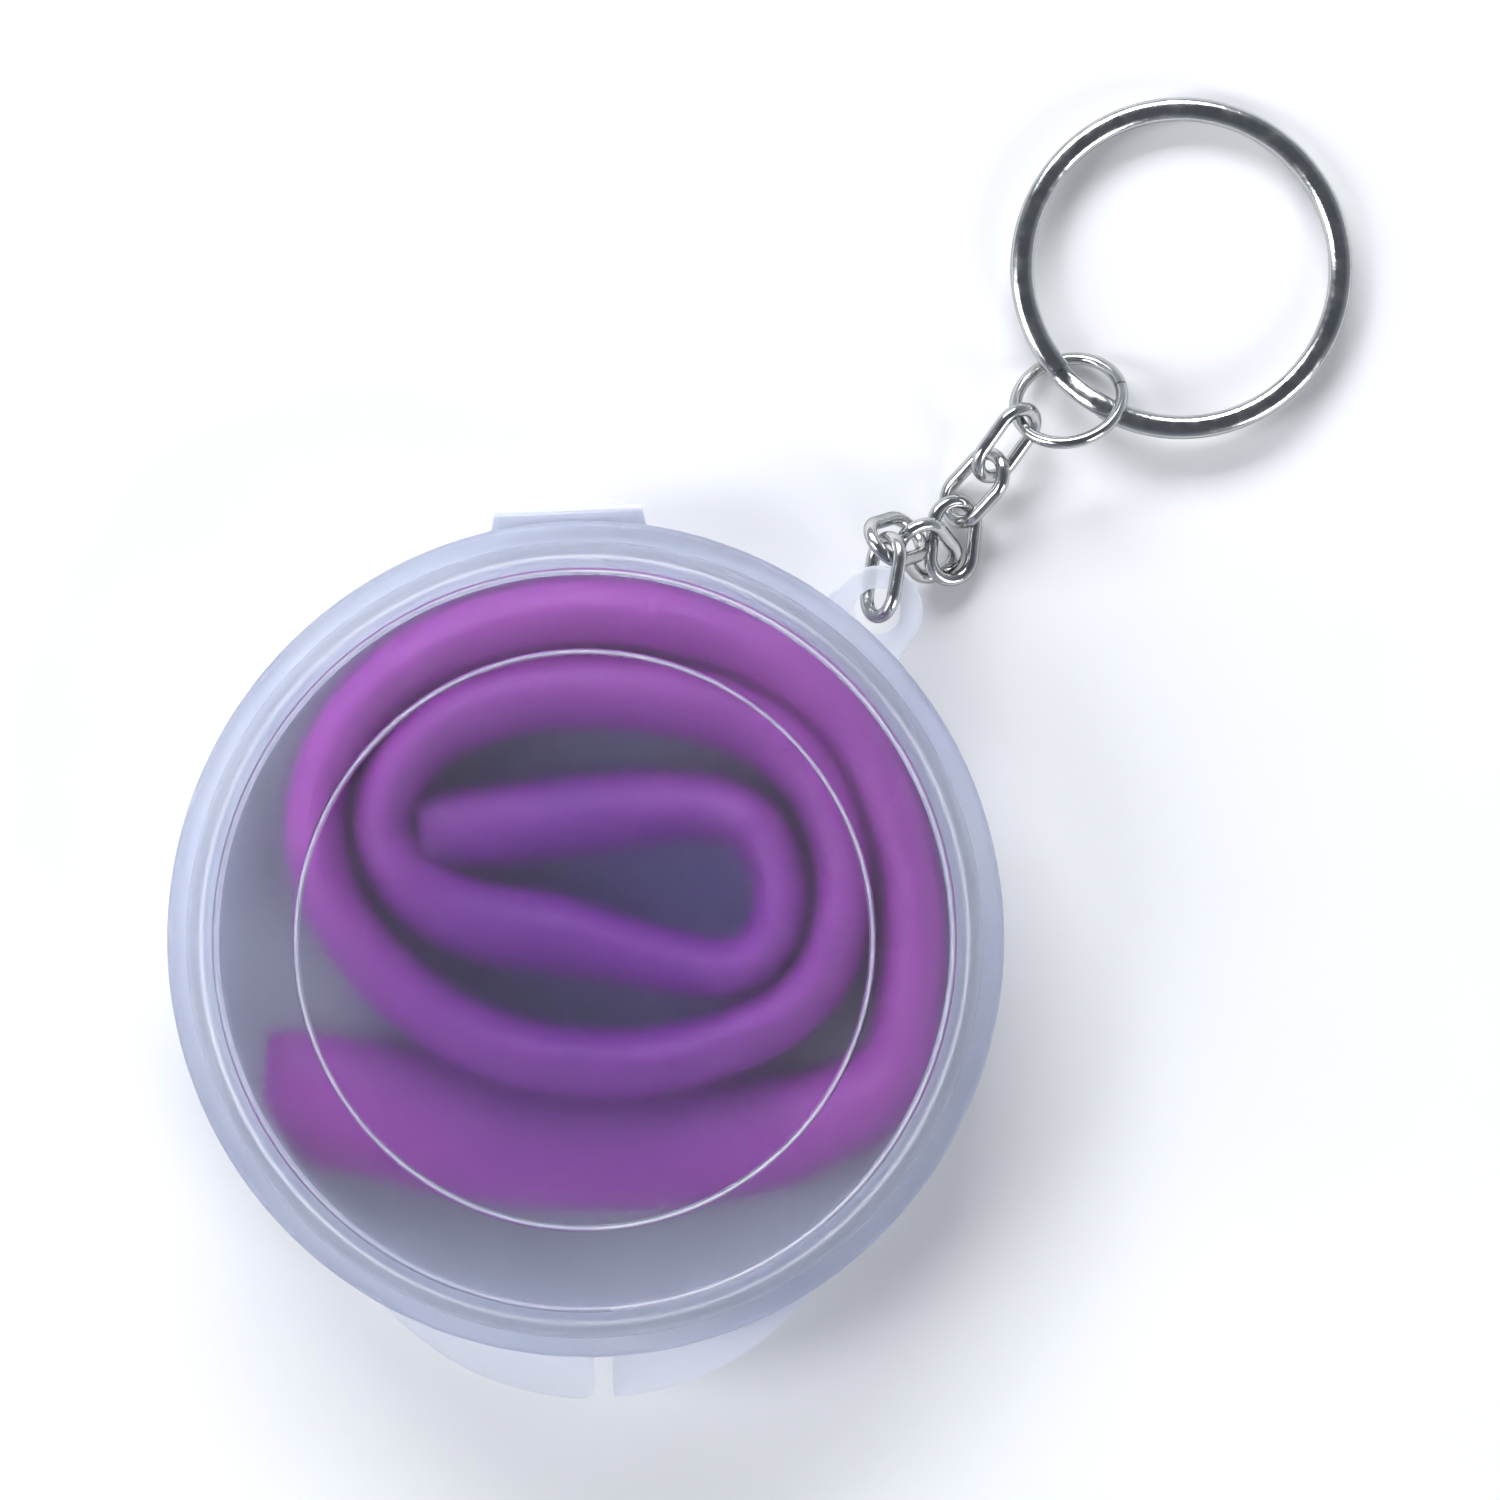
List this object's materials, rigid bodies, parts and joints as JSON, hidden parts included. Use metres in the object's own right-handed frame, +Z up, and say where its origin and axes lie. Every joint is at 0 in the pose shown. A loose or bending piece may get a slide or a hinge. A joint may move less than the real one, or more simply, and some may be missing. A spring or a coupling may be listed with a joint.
{
  "type": "straw case keychain",
  "caption": "Round frosted clamshell case with a coiled silicone drinking straw inside, hung on an oval-link chain with a split key ring.",
  "frame": {"origin": "centre of the base's flat bottom face, on the axis of the round case", "axes": "+Z up along the case's axis, lid on top; +Y towards the hinge strap, -Y towards the thumb tabs; the chain lies towards +X +Y"},
  "size_m": [0.0884, 0.093, 0.016],
  "materials": {
    "frosted_case": "satin frosted translucent polypropylene",
    "straw": "matt purple silicone",
    "nickel": "polished nickel-plated steel"
  },
  "bodies": {
    "base": {"base_shell": "frosted_case", "living_hinge": "frosted_case", "silicone_straw": "straw"},
    "lid": {"lid_shell": "frosted_case"},
    "link_1": {"chain_link_1": "nickel"},
    "link_2": {"chain_link_2": "nickel"},
    "link_3": {"chain_link_3": "nickel"},
    "link_4": {"chain_link_4": "nickel"},
    "link_5": {"chain_link_5": "nickel"},
    "link_6": {"chain_link_6": "nickel"},
    "jump_ring": {"jump_ring": "nickel"},
    "split_ring": {"split_ring": "nickel"}
  },
  "joints": [
    {"name": "lid_hinge", "type": "hinge", "parent": "base", "child": "lid", "pos_m": [0, 0.0311, 0.00802], "axis": [-1, 0, 0], "range_deg": [0, 180], "deforming": ["living_hinge"]},
    {"name": "chain_link_1_swing", "type": "hinge", "parent": "base", "child": "link_1", "pos_m": [0.02272, 0.02535, 0.0074], "axis": [-0.9781, 0.2079, 0], "range_deg": [-12, 12]},
    {"name": "chain_link_2_swing", "type": "hinge", "parent": "link_1", "child": "link_2", "pos_m": [0.02332, 0.02819, 0.00736], "axis": [0.55, -0.1021, 0.8289], "range_deg": [-2, 55]},
    {"name": "chain_link_3_swing", "type": "hinge", "parent": "link_2", "child": "link_3", "pos_m": [0.02526, 0.02851, 0.00305], "axis": [-0.5378, 0.8233, -0.1812], "range_deg": [-70, 25]},
    {"name": "chain_link_4_swing", "type": "hinge", "parent": "link_3", "child": "link_4", "pos_m": [0.02724, 0.02573, 0.00073], "axis": [0.845, 0.5269, 0.0913], "range_deg": [-42, 0]},
    {"name": "chain_link_5_swing", "type": "hinge", "parent": "link_4", "child": "link_5", "pos_m": [0.02838, 0.03077, 0.00215], "axis": [-0.8964, 0.0797, 0.436], "range_deg": [-15, 60]},
    {"name": "chain_link_6_swing", "type": "hinge", "parent": "link_5", "child": "link_6", "pos_m": [0.03161, 0.03358, 0.00348], "axis": [-0.4317, 0.7407, -0.5147], "range_deg": [-60, 60]},
    {"name": "jump_ring_swing", "type": "hinge", "parent": "link_6", "child": "jump_ring", "pos_m": [0.03394, 0.0371, 0.00364], "axis": [-0.5558, 0.3326, 0.7618], "range_deg": [-60, 60]},
    {"name": "split_ring_swing", "type": "hinge", "parent": "jump_ring", "child": "split_ring", "pos_m": [0.04067, 0.03869, 0.00304], "axis": [-0.188, 0.7541, -0.6293], "range_deg": [0, 90]}
  ]
}
